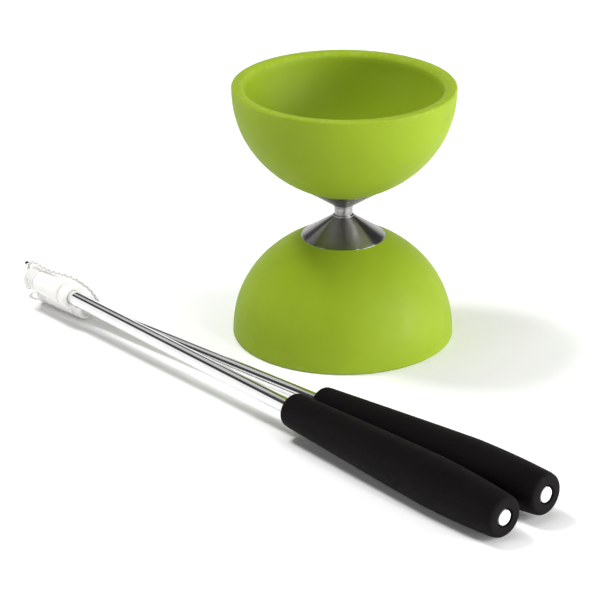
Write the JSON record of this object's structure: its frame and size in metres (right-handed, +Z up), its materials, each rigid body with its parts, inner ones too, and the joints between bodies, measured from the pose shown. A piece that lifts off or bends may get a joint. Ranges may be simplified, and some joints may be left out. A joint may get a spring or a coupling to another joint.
{
  "type": "diabolo set",
  "caption": "Juggling spool of two rubber cups joined at a narrow metal axle, with a pair of foam-gripped metal handsticks and the string that joins their tips.",
  "frame": {"origin": "middle of the set's footprint, on the surface that it stands on", "axes": "+Z up along the spool's axle, +Y across the set from the open ends of the grips towards the spool, -Y the side it is seen from"},
  "size_m": [0.2435, 0.2731, 0.124],
  "materials": {
    "cup_rubber": "matt, lime green, moulded",
    "cone_steel": "turned and brushed",
    "neck_steel": "polished",
    "stud_steel": "zinc plated thread",
    "washer_steel": "zinc plated",
    "lock_washer_steel": "dark spring steel",
    "nut_steel": "zinc plated",
    "tube_aluminium": "polished",
    "grip_foam": "fine black foam",
    "plug_plastic": "white, satin",
    "tip_plastic": "white, satin",
    "string_cord": "white braided cord",
    "tie_rubber": "black band"
  },
  "bodies": {
    "rear_stick": {"rear_tube": "tube_aluminium", "rear_grip": "grip_foam", "rear_end_plug": "plug_plastic", "rear_tip": "tip_plastic", "rear_knot": "string_cord", "string_rear_run": "string_cord", "string_hank": "string_cord", "hank_tie": "tie_rubber"},
    "front_stick": {"front_tube": "tube_aluminium", "front_grip": "grip_foam", "front_end_plug": "plug_plastic", "front_tip": "tip_plastic", "front_knot": "string_cord", "string_front_run": "string_cord"},
    "spool": {"lower_cup": "cup_rubber", "upper_cup": "cup_rubber", "lower_cone": "cone_steel", "upper_cone": "cone_steel", "neck_sleeve": "neck_steel", "axle_stud": "stud_steel", "lower_washer": "washer_steel", "upper_washer": "washer_steel", "lower_lock_washer": "lock_washer_steel", "upper_lock_washer": "lock_washer_steel", "lower_nut": "nut_steel", "upper_nut": "nut_steel"}
  },
  "joints": [
    {"name": "spool_spin", "type": "hinge", "parent": "rear_stick", "child": "spool", "pos_m": [0.033, 0.085, 0.062], "axis": [0, 0, 1], "continuous": true},
    {"name": "front_stick_lift", "type": "slide", "parent": "rear_stick", "child": "front_stick", "axis": [0, 0, 1], "range_m": [0, 0.15]}
  ]
}
